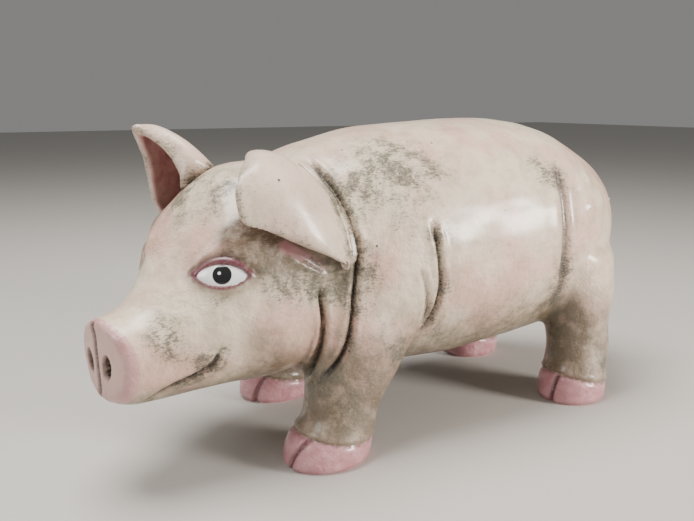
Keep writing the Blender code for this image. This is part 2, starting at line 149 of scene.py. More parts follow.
# How far the left front foot is ahead and the right one behind, and the height where the legs are even
FOOT_LEAD, LEAD_FADES_AT = 10.0, 90.0
# The hoof's top edge: its height at the side, and how it rises forward
HOOF_TOP, HOOF_RISE, HOOF_CURVE = 19.0, 6.5, 2.5
# How far the groove over the hoof goes in, the leg's lip and the hoof stand out, and its edge is rounded
HOOF_GROOVE, HOOF_LIP, HOOF_FLARE, HOOF_ROUND = 1.5, 0.9, 0.5, 2.4
CLEFT_TOP, CLEFT_DEPTH = 26.0, 3.2
# How high up and how far out the work on a foot reaches
FOOT_HEIGHT, FOOT_REACH = 60.0, 55.0
# Feet: t and side of the middle of each, half length and half width of the hoof, and how far out
# from the middle the cleft in its front is at the bottom and at the top
FEET = (
    (-1.0, 65.0, 33.0, 27.0, 4.0, 14.0), (-21.0, -65.0, 33.0, 27.0, 14.0, 18.0),
    (-240.0, 69.0, 29.5, 26.5, 4.0, 8.0), (-240.0, -69.0, 29.5, 26.5, -4.0, -8.0),
)

# Ears: ribs of the leaf, each from its root on the head to the free edge, as (t, distance out, height)
LEFT_EAR = (
    ((46.0, 22.0, 202.0), (53.0, 28.0, 205.0)),
    ((28.0, 22.0, 208.0), (69.0, 40.0, 206.0)),
    ((8.0, 34.0, 206.0), (82.0, 53.0, 203.0)),
    ((-4.0, 58.0, 190.0), (86.0, 56.0, 192.0)),
    ((-9.0, 74.0, 168.0), (82.0, 57.0, 177.0)),
    ((-10.0, 79.0, 152.0), (70.0, 64.0, 172.0)),
    ((-8.0, 80.0, 144.0), (46.0, 73.0, 160.0)),
    ((-5.0, 80.0, 140.0), (16.0, 79.0, 150.0)),
)
RIGHT_EAR = (
    ((56.0, 24.0, 192.0), (66.0, 29.0, 189.0)),
    ((46.0, 21.0, 203.0), (66.0, 31.0, 202.0)),
    ((38.0, 26.0, 203.0), (71.0, 42.0, 219.0)),
    ((24.0, 42.0, 196.0), (85.0, 56.0, 233.0)),
    ((6.0, 60.0, 184.0), (74.0, 62.0, 211.0)),
    ((-9.0, 74.0, 166.0), (68.0, 66.0, 192.0)),
    ((-8.0, 79.0, 148.0), (62.0, 70.0, 175.0)),
    ((6.0, 77.0, 138.0), (46.0, 74.0, 158.0)),
    ((24.0, 73.0, 138.0), (30.0, 78.0, 150.0)),
)
# How far the leaf runs on under the skin, as a part of its width, and how finely it is drawn
EAR_ROOT = 0.10
EAR_ROWS, EAR_ACROSS = 8, 22
# The middle of the head, which the leaves bow away from
EAR_HEART = (40.0, 30.0, 170.0)
# How far the middle of the leaf bows out at its front, at its tip and at its lower end
EAR_BOW_AT = (0.0, 0.4, 1.0)
LEFT_EAR_BOW = (11.0, 14.0, 6.0)
RIGHT_EAR_BOW = (8.0, 17.0, 7.0)
EAR_THICK = 5.0
EAR_RIM = 1.3

# Creases modelled in the clay: places along each, its half width, its depth, the height of its lips,
# and how much dark paint lies in it
CREASES = {
    "jowl": ((
        (30, 71, 133), (27, 73, 116), (26, 73, 100), (29, 69, 82), (34, 60, 67), (36, 50, 60),
    ), 2.0, 4.4, 1.2, 1.0),
    "neck": ((
        (-4, 22, 212), (-4, 43, 204), (-8, 61, 190), (-12, 71, 176), (-14, 77, 163), (-16, 80, 150),
        (-14, 81, 135), (-9, 82, 112), (-1, 83, 91), (13, 78, 75), (26, 66, 61), (32, 56, 56),
    ), 2.2, 4.2, 0.9, 1.0),
    "shoulder": ((
        (-74, 85, 172), (-78, 90, 146), (-80, 90, 122), (-77, 85, 101), (-70, 76, 82),
    ), 2.0, 3.6, 1.0, 0.95),
    "shoulder_fold": ((
        (-62, 88, 140), (-67, 88, 124), (-71, 85, 105), (-70, 80, 92),
    ), 1.8, 1.8, 0.6, 0.6),
    "ham": ((
        (-201, 70, 205), (-200, 87, 174), (-199, 91, 148), (-200, 90, 124), (-204, 86, 103), (-199, 76, 84),
    ), 4.0, 3.0, 0.6, 0.75),
    "mouth": ((
        (138, 17, 65), (130, 24, 70), (120, 30, 75), (108, 36, 80), (99, 43, 87), (96, 47, 98),
    ), 2.1, 3.0, 0.9, 1.0),
}
# The part of a crease over which each end runs out; where its lips are and how wide, in half widths
CREASE_FADE, LIP_AT, LIP_WIDTH = 0.18, 2.2, 1.3
# The raised lower margin of the ear's opening, and the opening itself
EAR_MARGIN = ((54, 60, 153), (42, 65, 145), (30, 70, 139), (18, 75, 136))
EAR_MARGIN_WIDTH, EAR_MARGIN_HEIGHT = 2.2, 2.2
EAR_OPENING = ((52, 61, 158), (40, 66, 150), (27, 70, 143))

# Swellings: place, radius, height
SWELLS = (
    ((56, 66, 92), 24.0, 3.4), ((46, 62, 72), 16.0, 2.6), ((10, 80, 108), 14.0, 2.4),
    ((83, 40, 168), 14.0, 3.4), ((104, 38, 124), 16.0, -1.6), ((98, 30, 157), 11.0, 2.2),
    ((-232, 88, 150), 24.0, 1.8), ((-50, 86, 120), 24.0, 2.0), ((120, 32, 94), 14.0, 1.2),
    ((-100, 91, 150), 22.0, 1.2), ((-170, 92, 110), 26.0, 1.0), ((-130, 60, 218), 30.0, 1.0),
    ((-224, 82, 186), 7.0, 2.4), ((-238, 80, 190), 7.0, 2.6), ((-232, 86, 168), 6.0, 2.2),
    ((-250, 80, 172), 8.0, 2.4), ((-218, 78, 206), 8.0, 1.6), ((-243, 84, 148), 8.0, 2.0),
    ((-224, 90, 140), 7.0, 1.8),
)

# Grime and painted shade: place, radius, strength. Dry-brushed dirt, with painted shade on the legs and the
# belly
GRIME_AND_SHADE = (
    ((128, 29, 114), 14.0, 0.9), ((124, 31, 100), 9.0, 0.5), ((112, 34, 96), 12.0, 0.35),
    ((95, 46, 128), 6.0, 1.0), ((96, 44, 94), 8.0, 0.9), ((42, 70, 136), 17.0, 0.95),
    ((60, 60, 128), 12.0, 0.55), ((8, 78, 132), 18.0, 0.85), ((66, 56, 142), 12.0, 0.7),
    ((58, 14, 199), 20.0, 0.45), ((76, 26, 184), 12.0, 0.4), ((104, 20, 158), 8.0, 0.5),
    ((-14, 66, 188), 22.0, 0.55), ((-40, 60, 200), 30.0, 0.65), ((-70, 62, 202), 26.0, 0.6),
    ((-56, 40, 218), 24.0, 0.4), ((-95, 70, 196), 22.0, 0.35), ((-60, 84, 168), 18.0, 0.4),
    ((-20, 82, 140), 16.0, 0.8), ((-16, 84, 118), 12.0, 0.6), ((-84, 89, 120), 10.0, 0.6),
    ((-84, 89, 160), 16.0, 0.5), ((-126, 91, 160), 20.0, 0.3), ((-190, 78, 196), 20.0, 0.5),
    ((-176, 70, 206), 20.0, 0.35), ((-202, 88, 120), 14.0, 0.9), ((-196, 80, 92), 18.0, 0.7),
    ((-216, 70, 72), 16.0, 0.6), ((-222, 66, 50), 14.0, 0.5), ((-250, 84, 34), 9.0, 0.6),
    ((14, 78, 62), 14.0, 0.35), ((12, 84, 50), 12.0, 0.4), ((-4, 86, 40), 14.0, 0.3),
    ((-46, 76, 76), 14.0, 0.5), ((-60, 60, 58), 14.0, 0.5), ((32, 55, 58), 14.0, 0.8),
    ((90, 0, 178), 18.0, 0.3), ((66, 18, 196), 9.0, 0.7), ((60, 34, 194), 8.0, 0.7),
    ((82, 22, 184), 8.0, 0.55), ((116, 31, 77), 5.0, 0.7), ((106, 37, 81), 6.0, 0.8),
    ((98, 43, 88), 7.0, 1.0), ((104, 40, 92), 9.0, 0.5), ((-120, 20, 234), 26.0, 0.3),
    ((-150, 80, 92), 30.0, 0.45), ((-90, 76, 78), 24.0, 0.5), ((-260, 60, 190), 20.0, 0.3),
    ((-265, 78, 110), 20.0, 0.4), ((70, 45, 68), 20.0, 0.3), ((-36, 85, 92), 20.0, 0.4),
)
# Painted shade in umber: shadow under the ears and round the eyes, and shade on the jowls, in the creases
# and on the legs
PAINTED_SHADE = (
    ((74, 46, 169), 11.0, 1.6), ((66, 55, 160), 12.0, 1.6), ((56, 60, 160), 12.0, 1.4),
    ((63, 58, 149), 9.0, 1.2), ((46, 68, 150), 12.0, 1.1), ((18, 76, 142), 12.0, 1.1),
    ((2, 80, 138), 10.0, 0.7), ((102, 32, 149), 6.0, 0.35), ((84, 48, 152), 7.0, 0.3),
    ((80, 42, 163), 9.0, 1.1), ((72, 50, 156), 10.0, 1.2), ((70, 57, 102), 12.0, 0.55),
    ((64, 60, 82), 15.0, 0.7), ((10, 78, 68), 18.0, 0.6), ((-4, 84, 54), 20.0, 0.6),
    ((-214, 78, 80), 18.0, 0.8), ((-222, 70, 56), 18.0, 0.8), ((-195, 80, 90), 12.0, 0.4),
    ((30, 56, 56), 14.0, 0.6),
)
# Warmer, pinker skin
BLUSH = (
    ((58, 66, 100), 24.0, 0.8), ((124, 30, 84), 20.0, 0.7), ((-140, 88, 118), 46.0, 0.7),
    ((4, 82, 96), 20.0, 0.6), ((-280, 40, 190), 40.0, 0.6), ((92, 26, 166), 22.0, 0.6),
    ((-40, 86, 150), 22.0, 0.5), ((-20, 84, 80), 26.0, 0.5), ((-235, 86, 120), 26.0, 0.5),
    ((-100, 60, 222), 40.0, 0.35),
)

# Cell sizes of the remeshed forms, and the place on the spine from which the face is finer
VOXEL, CAVITY_VOXEL, EAR_VOXEL, TAIL_VOXEL = 3.3, 5.0, 1.1, 0.8
FACE_FROM = 86.0
RING_POINTS = 44
RINGS_PER_SPAN = 5


# ---- places along the spine

def smooth(value):
    value = np.clip(value, 0.0, 1.0)
    return value * value * (3.0 - 2.0 * value)


def heading(t):
    return HEAD_YAW * smooth((t - TURN_FROM) / (TURN_TO - TURN_FROM))


SPINE_T = np.arange(-440.0, 281.0, 1.0)
SPINE_HEADING = heading((SPINE_T[:-1] + SPINE_T[1:]) / 2.0)
SPINE_X = np.concatenate(([0.0], np.cumsum(np.sin(SPINE_HEADING))))
SPINE_Y = np.concatenate(([0.0], np.cumsum(-np.cos(SPINE_HEADING)))) + ORIGIN_T - SPINE_T[0]


def place(t, side, z):
    """Points in space, in millimetres, from places along the spine; works on numbers and on arrays."""
    angle = heading(t)
    x = np.interp(t, SPINE_T, SPINE_X) + side * np.cos(angle)
    y = np.interp(t, SPINE_T, SPINE_Y) + side * np.sin(angle)
    return np.stack(np.broadcast_arrays(x, y, z), axis=-1).astype(float)


def unplace(points):
    """t and side of each point."""
    t = ORIGIN_T - points[:, 1]
    for _ in range(12):
        angle = heading(t)
        dx = points[:, 0] - np.interp(t, SPINE_T, SPINE_X)
        dy = points[:, 1] - np.interp(t, SPINE_T, SPINE_Y)
        t = t + 0.8 * (dx * np.sin(angle) - dy * np.cos(angle))
    return t, dx * np.cos(angle) + dy * np.sin(angle)


def spline(rows, per_span):
    """Catmull-Rom rows through the given ones."""
    made = []
    last = len(rows) - 1
    for i in range(last):
        around = [np.array(rows[min(max(k, 0), last)], float) for k in (i - 1, i, i + 1, i + 2)]
        before, here, there, after = around
        for k in range(per_span):
            u = k / per_span
            cubic = 3 * here - before - 3 * there + after
            square = 2 * before - 5 * here + 4 * there - after
            made.append(here + 0.5 * u * (there - before + u * (square + u * cubic)))
    return np.array(made + [np.array(rows[-1], float)])


# ---- meshes

WORK = bpy.data.collections.new("work")
bpy.context.scene.collection.children.link(WORK)


def put(name, mesh):
    made = bpy.data.objects.new(name, mesh)
    WORK.objects.link(made)
    return made


def modified(obj, *modifiers):
    """The object's mesh after the given modifiers; the object is used up."""
    for kind, settings in modifiers:
        modifier = obj.modifiers.new(kind.lower(), kind)
        for setting, value in settings.items():
            setattr(modifier, setting, value)
    bpy.context.view_layer.update()
    mesh = bpy.data.meshes.new_from_object(obj.evaluated_get(bpy.context.evaluated_depsgraph_get()))
    bpy.data.objects.remove(obj)
    return mesh


def mesh_from(bm):
    """The bmesh as a mesh; the bmesh is used up."""
    mesh = bpy.data.meshes.new("made")
    bm.to_mesh(mesh)
    bm.free()
    return mesh


def loft(rings):
    """A closed body through rings of points, in millimetres, that all have the same count."""
    bm = bmesh.new()
    loops = [[bm.verts.new(point * MM) for point in ring] for ring in rings]
    for low, high in zip(loops, loops[1:]):
        for k in range(len(low)):
            after = (k + 1) % len(low)
            bm.faces.new((low[k], low[after], high[after], high[k]))
    bm.faces.new(loops[0])
    bm.faces.new(loops[-1])
    bmesh.ops.recalc_face_normals(bm, faces=bm.faces)
    return mesh_from(bm)


def primitive(create, matrix, **sizes):
    bm = bmesh.new()
    create(bm, matrix=matrix, **sizes)
    return mesh_from(bm)


def block(middle, size):
    """A box with its middle and its sides in millimetres."""
    matrix = Matrix.Translation(Vector(middle) * MM) @ Matrix.Diagonal((*(Vector(size) * MM), 1.0))
    return primitive(bmesh.ops.create_cube, matrix, size=1.0)


def cylinder(x, y, radius, low, high, segments):
    """An upright cylinder, its sizes in millimetres."""
    middle = Vector((x, y, (low + high) / 2.0)) * MM
    return primitive(
        bmesh.ops.create_cone, Matrix.Translation(middle), segments=segments, cap_ends=True,
        radius1=radius * MM, radius2=radius * MM, depth=(high - low) * MM,
    )


def joined(meshes):
    bm = bmesh.new()
    for mesh in meshes:
        bm.from_mesh(mesh)
    return mesh_from(bm)


def finer(mesh, from_t):
    """Splits the faces forward of a place on the spine in four."""
    bm = bmesh.new()
    bm.from_mesh(mesh)
    bm.verts.ensure_lookup_table()
    t, _ = unplace(np.array([v.co for v in bm.verts]) / MM)
    edges = [e for e in bm.edges if t[e.verts[0].index] > from_t and t[e.verts[1].index] > from_t]
    bmesh.ops.subdivide_edges(bm, edges=edges, cuts=1, use_grid_fill=True)
    bm.to_mesh(mesh)
    bm.free()
    return mesh


def points_of(mesh):
    """The mesh's points in millimetres."""
    flat = np.empty(len(mesh.vertices) * 3, np.float32)
    mesh.vertices.foreach_get("co", flat)
    return flat.reshape(-1, 3).astype(float) / MM


def normals_of(mesh):
    flat = np.empty(len(mesh.vertices) * 3, np.float32)
    mesh.vertex_normals.foreach_get("vector", flat)
    return flat.reshape(-1, 3).astype(float)


def set_points(mesh, points):
    mesh.vertices.foreach_set("co", (points * MM).astype(np.float32).ravel())
    mesh.update()


def tree_of(mesh):
    return BVHTree.FromPolygons([v.co for v in mesh.vertices], [p.vertices for p in mesh.polygons])


def cut(mesh, operation, *tools):
    """The mesh after Booleans with other closed meshes."""
    for tool in tools:
        other = put("tool", tool)
        mesh = modified(
            put("cut", mesh), ("BOOLEAN", {"operation": operation, "solver": "MANIFOLD", "object": other})
        )
        bpy.data.objects.remove(other)
    return mesh


def trunk_mesh():
    rings = []
    angle = 2.0 * math.pi * np.arange(RING_POINTS) / RING_POINTS
    across, up = np.cos(angle), np.sin(angle)
    for t, level, width, rise, drop, square_up, square_down in spline(SECTIONS, RINGS_PER_SPAN):
        power = 2.0 / np.where(up > 0.0, square_up, square_down)
        height = np.where(up > 0.0, rise, drop)
        side = width * np.sign(across) * np.abs(across) ** power
        rings.append(place(t, side, level + height * np.sign(up) * np.abs(up) ** power))
    return loft(rings)


def leg_mesh(rows, side, lead):
    rings = []
    angle = 4.0 * math.pi * np.arange(RING_POINTS // 2) / RING_POINTS
    for z, out, forward, half_length, half_width in spline(rows, RINGS_PER_SPAN):
        lead_here = lead * (1.0 - smooth(z / LEAD_FADES_AT))
        x = side * out + half_width * np.cos(angle)
        y = ORIGIN_T - forward - lead_here - half_length * np.sin(angle)
        rings.append(np.stack((x, y, np.full_like(x, z)), axis=-1))
    return loft(rings)


# ---- distances and masks

def mirrored(places):
    """Both copies of a list of places: on the pig's left and on its right."""
    yield [np.array(p, float) for p in places]
    yield [np.array((p[0], -p[1], p[2]), float) for p in places]


def on_skin(places, sunk=0.0):
    """The places moved onto the skin, or sunk that far below it, in millimetres."""
    found = []
    for point in places:
        hit, normal, _, _ = SKIN.find_nearest(Vector(place(*point)) * MM)
        found.append(np.array(hit) / MM - np.array(normal) * sunk)
    return found


def path_distance(points, path):
    """Distance of each point to a path, and how far along it the nearest place is, from 0 to 1."""
    best = np.full(len(points), 1e9)
    along = np.zeros(len(points))
    lengths = [np.linalg.norm(b - a) for a, b in zip(path, path[1:])]
    total, done = sum(lengths), 0.0
    for start, end, length in zip(path, path[1:], lengths):
        direction = (end - start) / length
        s = np.clip((points - start) @ direction, 0.0, length)
        distance = np.linalg.norm(points - start - s[:, None] * direction, axis=1)
        nearer = distance < best
        best = np.where(nearer, distance, best)
        along = np.where(nearer, (done + s) / total, along)
        done += length
    return best, along


def crease_paths(sunk=0.0):
    """The creases of both sides, on the skin or sunk to a part of their depth."""
    for places, width, depth, lip, paint in CREASES.values():
        for side in mirrored(places):
            yield on_skin(spline(side, 4), sunk * depth), width, depth, lip, paint


def spots(table):
    """Each spot of a table on both sides: its place on the skin, its radius and its strength."""
    for at, radius, strength in table:
        for spot in mirrored((at,)):
            yield on_skin(spot)[0], radius, strength


def skin_distance(points):
    """How far each point is from the skin, in millimetres."""
    found = []
    for point in points:
        at = Vector(point) * MM
        found.append((at - SKIN.find_nearest(at)[0]).length / MM)
    return np.array(found)


def eye_frame(side):
    """Where an eye sits: its middle on the skin, with X along it, Y up and Z outward."""
    aim = Vector(place(EYE_T, 0.0, EYE_Z)) * MM
    outward = (Vector(place(EYE_T, side * 100.0, EYE_Z)) * MM - aim).normalized()
    hit, normal, _, _ = SKIN.ray_cast(aim + outward * 0.3, -outward)
    along = Vector((0, 0, 1)).cross(normal).normalized()
    matrix = Matrix((along, normal.cross(along), normal)).transposed().to_4x4()
    matrix.translation = hit
    return matrix


def in_frame(matrix, points):
    """The points in a frame's own millimetres."""
    inverse = np.array(matrix.inverted())
    return (points * MM @ inverse[:3, :3].T + inverse[:3, 3]) / MM


def eye_distance(local):
    """Signed distance, roughly, from the edge of the eye opening: negative inside the almond."""
    a, b = local[:, 0] / LID_HALF, local[:, 1]
    height = np.where(b > 0.0, LID_UP, LID_DOWN) * np.clip(1.0 - a * a, 0.0, 1.0) ** 0.75
    beyond = np.maximum(np.abs(local[:, 0]) - LID_HALF, 0.0)
    return np.hypot(np.maximum(np.abs(b) - height, 0.0), beyond) - np.clip(height - np.abs(b), 0.0, 4.0)


def snout_local(points):
    """How far forward each point is, and its side and height from the middle of the snout's disc."""
    t, side = unplace(points)
    return t, side, points[:, 2] - SNOUT_Z


def snout_forward(side, height):
    """The shape of the snout's face: domed from side to side and leaning a little forward at the top."""
    return SNOUT_LEAN * height - SNOUT_DOME * (side / SNOUT_R) ** 2 - SNOUT_BOW * (height / SNOUT_R) ** 2


def nostril_distance(side, height):
    """1 in the middle of a nostril, 0 at its edge and beyond; each leans a little outward at the top."""
    best = np.zeros_like(side)
    for sign in (1.0, -1.0):
        dy = height - NOSTRIL_Z
        dx = side - NOSE_SIDE - sign * (NOSTRIL_OUT + NOSTRIL_LEAN * dy)
        best = np.maximum(best, 1.0 - np.hypot(dx / NOSTRIL_HALF_WIDTH, dy / NOSTRIL_HALF_HEIGHT))
    return best


def uneven(points):
    """The slow unevenness of clay worked by hand."""
    x, y, z = points.T
    wave = np.sin(x / 7.9 + 0.7 * np.sin(z / 11.0)) * np.sin(y / 9.1 + 1.3)
    wave *= np.sin(z / 8.3 + 0.4 * np.sin(y / 13.0))
    slow = np.sin(x / 17.0 + 2.0) * np.sin(y / 21.0 + 0.5) * np.sin(z / 15.0 + 1.0)
    return 0.45 * wave + 0.80 * slow


def bell(distance, width):
    """1 at no distance, falling softly to almost nothing at twice the width."""
    return np.exp(-(distance / width) ** 2)


def faded(along, part):
    """1 along a path, running out softly over the first and the last part of it."""
    return smooth(along / part) * smooth((1.0 - along) / part)


def lid_push(points, sign):
    """How far the lids of one eye stand out from the head, and its socket and fold go in."""
    local = in_frame(eye_frame(sign), points)
    near = np.abs(local[:, 2]) < EYE_REACH
    edge = eye_distance(local)
    upper = local[:, 1] > 0.0
    lid = np.where(upper, LID_UPPER, LID_LOWER) * bell(edge - 1.8, 2.0)
    socket = SOCKET_DEPTH * smooth(0.2 - edge / 1.6)
    fold = LID_FOLD * bell(edge - 5.4, 1.2) * upper
    return np.where(near, lid - socket - fold, 0.0)


def snout_push(points):
    """How far forward the snout's face stands: domed, with a rim, a groove down it and two nostrils."""
    t, side, height = snout_local(points)
    face = smooth((t - SNOUT_FACE_T) / 3.0)
    radius = np.hypot(side, height) / SNOUT_R
    nostril = nostril_distance(side, height)
    forward = smooth((t - SNOUT_FROM) / (SNOUT_TO - SNOUT_FROM)) * snout_forward(side, height)
    forward += SNOUT_RIM * face * bell(radius - 0.84, 0.13)
    forward -= NOSE_GROOVE * face * bell(side - NOSE_SIDE, 1.3) * smooth((0.98 - radius) / 0.2)
    forward -= NOSTRIL_DEPTH * face * smooth(nostril / 0.4)
    forward += NOSTRIL_LIP * face * bell(nostril + 0.25, 0.2)
    angle = heading(t)
    return np.stack((np.sin(angle), -np.cos(angle), np.zeros_like(t)), axis=-1) * forward[:, None]


def hoof(points, foot):
    """Whether each point is near the foot, the way outward, the hoof's top and the cleft's distance."""
    foot_t, foot_side, half_length, half_width, cleft_low, cleft_high = foot
    z = points[:, 2]
    x = points[:, 0] - foot_side
    ahead = (ORIGIN_T - points[:, 1]) - foot_t
    near = (z < FOOT_HEIGHT) & (np.hypot(x, ahead) < FOOT_REACH)
    out = np.stack((x / half_width ** 2, -ahead / half_length ** 2), axis=-1)
    out /= np.maximum(np.linalg.norm(out, axis=1), 1e-9)[:, None]
    forward = ahead / half_length
    line = HOOF_TOP + HOOF_RISE * forward + HOOF_CURVE * forward ** 2
    across = cleft_low + (cleft_high - cleft_low) * z / CLEFT_TOP
    cleft = np.where(ahead > 4.0, np.abs(x - across), FAR)
    return near, out, line, cleft


def hoof_push(points, foot):
    """The hoof's groove and lip, its cleft in front and its rounded edge on the table, as moves in plan."""
    near, out, line, cleft = hoof(points, foot)
    z = points[:, 2]
    push = HOOF_LIP * bell(z - line - 3.6, 2.4) - HOOF_GROOVE * bell(z - line, 1.3)
    push += HOOF_FLARE * smooth((line - z) / 4.0)
    push -= HOOF_ROUND * smooth(1.0 - z / 4.0)
    push -= CLEFT_DEPTH * bell(cleft, 1.6) * smooth((line + 1.0 - z) / 4.0)
    return out * np.where(near, push, 0.0)[:, None]


def sculpt(mesh):
    """Works the creases, folds, snout, lids and hooves into the clay."""
    points, normals = points_of(mesh), normals_of(mesh)
    push = uneven(points)
    for middle, radius, height in spots(SWELLS):
        push += height * bell(np.linalg.norm(points - middle, axis=1), radius)
    for path, width, depth, lip, _ in crease_paths():
        distance, along = path_distance(points, path)
        push -= depth * faded(along, CREASE_FADE) * bell(distance, width)
        push += lip * faded(along, CREASE_FADE) * bell(distance - LIP_AT * width, LIP_WIDTH * width)
    for margin in mirrored(EAR_MARGIN):
        distance, along = path_distance(points, on_skin(spline(margin, 4)))
        push += EAR_MARGIN_HEIGHT * faded(along, 0.2) * bell(distance, EAR_MARGIN_WIDTH)
    for sign in (1.0, -1.0):
        push += lid_push(points, sign)
    points = points + normals * push[:, None]
    points = points + snout_push(points)
    for foot in FEET:
        points[:, :2] += hoof_push(points, foot)
    set_points(mesh, points)
    return mesh


def lay_paints(mesh, paints):
    """Stores each paint as one value from 0 to 1 at each point of the mesh."""
    for name, values in paints.items():
        attribute = mesh.attributes.new(name, "FLOAT", "POINT")
        attribute.data.foreach_set("value", np.clip(values, 0.0, 1.0).astype(np.float32))


def spot_paint(points, table):
    """How much of a paint lies at each point, from a table of its spots."""
    paint = np.zeros(len(points))
    for middle, radius, strength in spots(table):
        paint += strength * bell(np.linalg.norm(points - middle, axis=1), radius)
    return paint


def snout_paint(points):
    """The pink of the snout's disc, and the dark of its groove and nostrils."""
    t, side, height = snout_local(points)
    ahead = t - SNOUT_DISC_T - snout_forward(side, height)
    radius = np.hypot(side, height) / SNOUT_R
    disc = smooth((ahead + 5.5) / 2.5)
    groove = bell(side - NOSE_SIDE, 2.1) * disc * smooth((0.98 - radius) / 0.15)
    nostril = smooth(nostril_distance(side, height) / 0.2) * smooth((ahead + 14.0) / 6.0)
    return disc * (0.52 + 0.28 * bell(radius - 0.95, 0.14)), np.maximum(groove, nostril)


def lid_paint(points, sign):
    """The plum rim of one eye, the dark fold above it and the painted shadow round it."""
    local = in_frame(eye_frame(sign), points)
    edge = np.where(np.abs(local[:, 2]) < EYE_REACH, eye_distance(local), FAR)
    reach = np.where(local[:, 1] > 0.0, LEFT_RIM if sign > 0.0 else RIGHT_RIM, LOWER_RIM)
    fold = smooth(local[:, 1] / 3.0) * smooth((15.0 - np.abs(local[:, 0])) / 6.0)
    return smooth((reach - edge) / 1.8), 0.6 * fold * bell(edge - 5.2, 0.9), 0.55 * bell(edge - 4.5, 4.5)


def paint_shell(mesh):
    """Lays out where the paints go on a shell."""
    points = points_of(mesh)
    t, _ = unplace(points)
    z = points[:, 2]
    grime_and_shade, painted_shade, blush = (spot_paint(points, table) for table in (GRIME_AND_SHADE, PAINTED_SHADE, BLUSH))
    pink, dark = snout_paint(points)
    for path, width, _, _, paint in crease_paths(sunk=0.7):
        distance, along = path_distance(points, path)
        paint = paint * faded(along, 0.10)
        dark = np.maximum(dark, paint * smooth(1.30 - distance / (1.05 * width)))
        grime_and_shade += 0.50 * paint * bell(distance, 2.6 * width + 2.0)
    for opening in mirrored(EAR_OPENING):
        distance, _ = path_distance(points, on_skin(spline(opening, 3)))
        pink = np.maximum(pink, 0.9 * smooth(1.5 - distance / 4.0))

    rim = np.zeros(len(points))
    for sign in (1.0, -1.0):
        plum, fold, shadow = lid_paint(points, sign)
        rim = np.maximum(rim, plum)
        dark = np.maximum(dark, fold)
        painted_shade += shadow

    for foot in FEET:
        near, _, line, cleft = hoof(points, foot)
        pink = np.where(near, np.maximum(pink, smooth((line - z) / 1.2 + 0.5)), pink)
        edge = 0.55 * bell(z - line + 0.3, 0.9)
        split = 0.95 * bell(cleft, 1.7) * smooth((line - z) / 2.0)
        dark = np.where(near, np.maximum(dark, np.maximum(edge, split)), dark)
        grime_and_shade = np.where(near, grime_and_shade + 0.30 * bell(z - line - 12.0, 9.0), grime_and_shade)

    # Painted shade on the underside, but not under the chin
    chin = smooth((z - 62.0) / 30.0) * smooth((t - 40.0) / 30.0)
    under = smooth((122.0 - z) / 66.0) * (1.0 - chin) * (1.0 - pink)
    painted_shade += 0.80 * under
    grime_and_shade += 0.20 * under

    inside = np.zeros(len(points))
    for k, point in enumerate(points):
        if SHALLOW.find_nearest(Vector(point) * MM, SKIN_DEEP * MM)[0] is None:
            inside[k] = 1.0
    lay_paints(mesh, {
        "grime_and_shade": grime_and_shade, "dark": dark, "painted_shade": painted_shade, "blush": blush,
        "pink": pink, "rim": rim, "inside": inside,
    })


# ---- shaders

class Shader:
    """A material and short ways to add nodes to it."""

    def __init__(self, name):
        self.material = bpy.data.materials.new(name)
        self.material.use_nodes = True
        self.tree = self.material.node_tree
        self.principled = self.tree.nodes["Principled BSDF"]
        self.coords = self.tree.nodes.new("ShaderNodeTexCoord").outputs["Object"]

    def node(self, kind, inputs=None, **settings):
        made = self.tree.nodes.new(kind)
        for name, value in settings.items():
            setattr(made, name, value)
        for key, value in (inputs or {}).items():
            self.feed(made.inputs[key], value)
        return made

    def feed(self, socket, value):
        if isinstance(value, bpy.types.NodeSocket):
            self.tree.links.new(value, socket)
        elif isinstance(value, tuple) and len(value) == 3 and socket.type == "RGBA":
            socket.default_value = (*value, 1.0)
        else:
            socket.default_value = value

    def mask(self, name):
        return self.node("ShaderNodeAttribute", attribute_name=name).outputs["Fac"]

    def noise(self, size, detail, roughness=0.55, stretch=(1.0, 1.0, 1.0), turn=(0.0, 0.0, 0.0),
              distortion=0.0):
        """Noise whose lumps are about size millimetres across."""
        scale = tuple(1000.0 / size / s for s in stretch)
        mapping = self.node("ShaderNodeMapping", {"Vector": self.coords, "Rotation": turn, "Scale": scale})
        return self.node("ShaderNodeTexNoise", {
            "Vector": mapping.outputs[0], "Scale": 1.0, "Detail": detail, "Roughness": roughness,
            "Distortion": distortion,
        }).outputs["Fac"]

    def math(self, operation, a, b=0.0, clamp=False):
        return self.node("ShaderNodeMath", {0: a, 1: b}, operation=operation, use_clamp=clamp).outputs[0]

    def ramp(self, value, low, high, to_low=0.0, to_high=1.0):
        """The value taken from one range to another, with soft ends."""
        return self.node("ShaderNodeMapRange", {
            "Value": value, "From Min": low, "From Max": high, "To Min": to_low, "To Max": to_high,
        }, interpolation_type="SMOOTHSTEP").outputs[0]

    def mix(self, factor, a, b):
        made = self.node("ShaderNodeMix", data_type="RGBA")
        self.feed(made.inputs[0], factor)
        self.feed(made.inputs[6], a)
        self.feed(made.inputs[7], b)
        return made.outputs[2]

    def flecks(self, scale, edge, core):
        """Small scattered flecks, soft between their edge and their core."""
        cells = self.node("ShaderNodeTexVoronoi", {"Vector": self.coords, "Scale": scale})
        return self.ramp(cells.outputs["Distance"], edge, core, 0.0, 0.85)

    def bump(self, *layers):
        """Bumps one over the other, each as (height value, distance in millimetres)."""
        normal = None
        for height, distance in layers:
            inputs = {"Height": height, "Distance": distance * MM, "Strength": 1.0}
            if normal is not None:
                inputs["Normal"] = normal
            normal = self.node("ShaderNodeBump", inputs).outputs[0]
        self.feed(self.principled.inputs["Normal"], normal)

    def set(self, **values):
        for name, value in values.items():
            self.feed(self.principled.inputs[name.replace("_", " ")], value)


